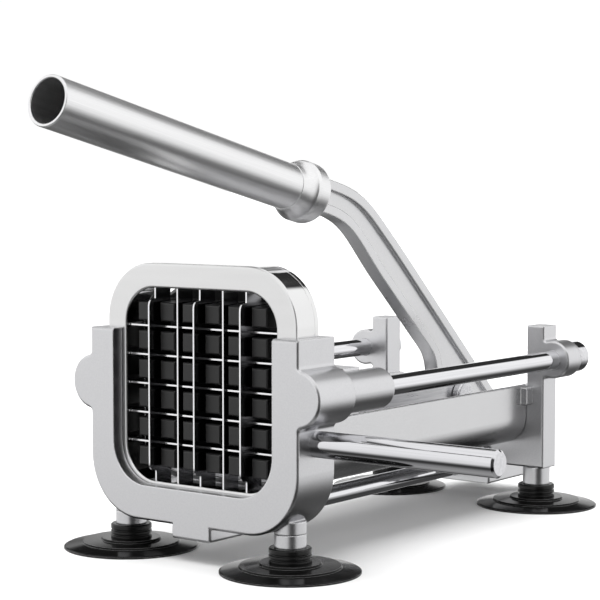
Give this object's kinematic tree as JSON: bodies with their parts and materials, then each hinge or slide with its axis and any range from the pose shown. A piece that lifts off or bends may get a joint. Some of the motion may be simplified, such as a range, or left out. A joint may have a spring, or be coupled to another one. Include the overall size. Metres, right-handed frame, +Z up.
{
  "type": "vegetable dicer",
  "caption": "Horizontal hand-lever vegetable dicer: a lever and link push a pegged block through a square blade grid in a U-shaped frame on suction feet.",
  "frame": {"origin": "middle of the footprint's bounding box, on the table", "axes": "+X across the machine towards the hold bar, +Y from the blade grid towards the lever pivot, +Z up"},
  "size_m": [0.2284, 0.3562, 0.2115],
  "materials": {
    "cast_aluminium": "satin, fine blasted casting",
    "cassette_aluminium": "satin face, polished side",
    "blade_steel": "ground edge",
    "chromed_steel": "mirror",
    "stainless_tube": "brushed",
    "steel_fasteners": "plain",
    "bronze_bushings": "sintered",
    "black_plastic": "moulded",
    "black_rubber": "glossy"
  },
  "bodies": {
    "frame": {"front_frame": "cast_aluminium", "rear_frame": "cast_aluminium", "trough": "cast_aluminium", "trough_screws": "steel_fasteners", "cassette_front": "cassette_aluminium", "cassette_rear": "cassette_aluminium", "cassette_screws": "steel_fasteners", "blades_level": "blade_steel", "blades_upright_flat": "blade_steel", "blades_upright_bowed": "blade_steel", "guide_rod_left": "chromed_steel", "guide_rod_right": "chromed_steel", "rod_washers": "steel_fasteners", "rod_cap_nuts": "chromed_steel", "lower_tie_bar": "chromed_steel", "lever_bracket": "cast_aluminium", "bracket_screws": "steel_fasteners", "pivot_pin": "steel_fasteners", "pivot_nut": "steel_fasteners", "hold_bar": "chromed_steel", "hold_bar_stud": "steel_fasteners", "foot_studs": "steel_fasteners", "foot_post_front_left": "cast_aluminium", "foot_collar_front_left": "black_plastic", "suction_cup_front_left": "black_rubber", "foot_post_front_right": "cast_aluminium", "foot_collar_front_right": "black_plastic", "suction_cup_front_right": "black_rubber", "foot_post_rear_left": "cast_aluminium", "foot_collar_rear_left": "black_plastic", "suction_cup_rear_left": "black_rubber", "foot_post_rear_right": "cast_aluminium", "foot_collar_rear_right": "black_plastic", "suction_cup_rear_right": "black_rubber"},
    "carriage": {"carriage": "cast_aluminium", "rod_bushings": "bronze_bushings", "pusher_block": "black_plastic", "pusher_screws": "steel_fasteners"},
    "lever": {"lever_arm": "cast_aluminium", "lever_bushing": "bronze_bushings", "handle_tube": "stainless_tube", "handle_collar": "stainless_tube", "link_rear_pin": "steel_fasteners", "link_rear_nut": "steel_fasteners"},
    "link": {"link_plate_left": "stainless_tube", "link_plate_right": "stainless_tube", "link_front_pin": "steel_fasteners", "link_front_nut": "steel_fasteners"}
  },
  "joints": [
    {"name": "lever_swing", "type": "hinge", "parent": "frame", "child": "lever", "pos_m": [-0.03675, 0.16214, 0.023], "axis": [-1, 0, 0], "range_deg": [0, 100]},
    {"name": "carriage_slide", "type": "slide", "parent": "frame", "child": "carriage", "axis": [0, 1, 0], "range_m": [0, 0.0888]},
    {"name": "link_swing", "type": "hinge", "parent": "lever", "child": "link", "pos_m": [-0.03675, 0.11414, 0.056], "axis": [1, 0, 0], "range_deg": [0, 103.8]}
  ],
  "couplings": [
    {"joint": "carriage_slide", "follows": "lever_swing", "m_per_rad": 0.050701},
    {"joint": "link_swing", "follows": "lever_swing", "ratio": 1.0344}
  ]
}
